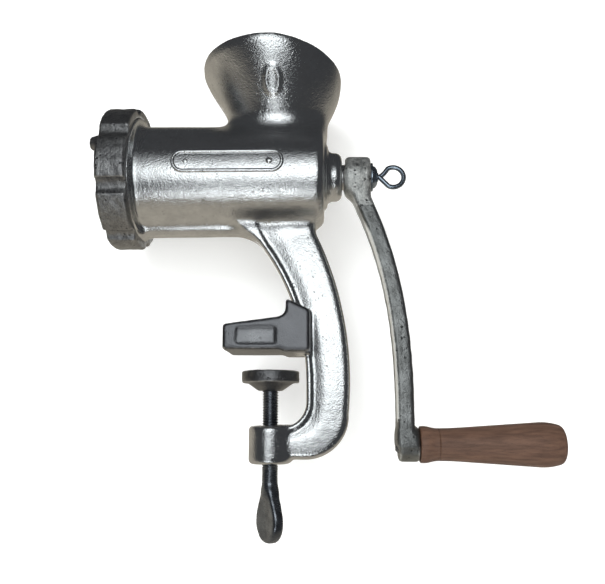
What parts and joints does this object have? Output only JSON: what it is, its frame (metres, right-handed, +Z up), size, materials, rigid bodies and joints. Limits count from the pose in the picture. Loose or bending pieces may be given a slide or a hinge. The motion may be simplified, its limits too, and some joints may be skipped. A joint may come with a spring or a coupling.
{
  "type": "hand crank meat grinder",
  "caption": "Hand crank meat grinder with flared hopper, lobed ring nut, table clamp, cranked arm and turned wooden grip.",
  "frame": {"origin": "middle of the table seat, the flat underside of the fixed jaw, on the clamp screw's axis", "axes": "+Z up along the clamp screw, meat leaves towards -X, crank and grip towards +X"},
  "size_m": [0.2605, 0.096, 0.2765],
  "materials": {
    "tinned_iron": "bright hot-tinned casting, lightly pitted",
    "dark_casting": "dark rough casting, worn lighter on the edges",
    "crank_casting": "grey rough casting, edges worn bright",
    "tool_steel": "ground tool steel",
    "zinc_steel": "blue-white zinc plate",
    "screw_steel": "dark oiled steel",
    "fibre": "pressed fibre",
    "turned_wood": "turned hardwood, stained reddish brown"
  },
  "bodies": {
    "frame": {"body_casting": "tinned_iron", "plate_key_pin": "tool_steel", "thrust_washer": "fibre"},
    "rotor": {"auger": "tinned_iron", "knife_stud": "tool_steel", "cross_knife": "tool_steel", "crank_arm": "crank_casting", "handle_spindle": "screw_steel", "handle_washer": "screw_steel"},
    "grip": {"handle_grip": "turned_wood"},
    "washer": {"crank_washer": "zinc_steel"},
    "eye": {"eye_screw": "zinc_steel"},
    "plate": {"cutting_plate": "tool_steel"},
    "ring": {"ring_nut": "dark_casting"},
    "disc": {"clamp_disc": "dark_casting"},
    "screw": {"clamp_screw": "screw_steel"}
  },
  "joints": [
    {"name": "crank_turn", "type": "hinge", "parent": "frame", "child": "rotor", "pos_m": [0.05, 0, 0.104], "axis": [1, 0, 0], "continuous": true},
    {"name": "grip_turn", "type": "hinge", "parent": "rotor", "child": "grip", "pos_m": [0.12, 0, -0.0514], "axis": [1, 0, 0], "continuous": true},
    {"name": "washer_slide", "type": "slide", "parent": "rotor", "child": "washer", "axis": [1, 0, 0], "range_m": [0, 0.0125]},
    {"name": "eye_turn", "type": "hinge", "parent": "washer", "child": "eye", "pos_m": [0.07, 0, 0.104], "axis": [1, 0, 0], "range_deg": [0, 3600]},
    {"name": "plate_slide", "type": "slide", "parent": "frame", "child": "plate", "axis": [-1, 0, 0], "range_m": [0, 0.0125]},
    {"name": "ring_turn", "type": "hinge", "parent": "plate", "child": "ring", "pos_m": [-0.09, 0, 0.104], "axis": [-1, 0, 0], "range_deg": [0, 1800]},
    {"name": "disc_slide", "type": "slide", "parent": "frame", "child": "disc", "axis": [0, 0, 1], "range_m": [-0.018, 0.009]},
    {"name": "clamp_turn", "type": "hinge", "parent": "disc", "child": "screw", "pos_m": [0, 0, -0.05], "axis": [0, 0, 1], "range_deg": [-4321, 2161]}
  ],
  "couplings": [
    {"joint": "washer_slide", "follows": "eye_turn", "m_per_rad": 0.00019894},
    {"joint": "plate_slide", "follows": "ring_turn", "m_per_rad": 0.00039789},
    {"joint": "clamp_turn", "follows": "disc_slide", "rad_per_m": 4188.8}
  ]
}
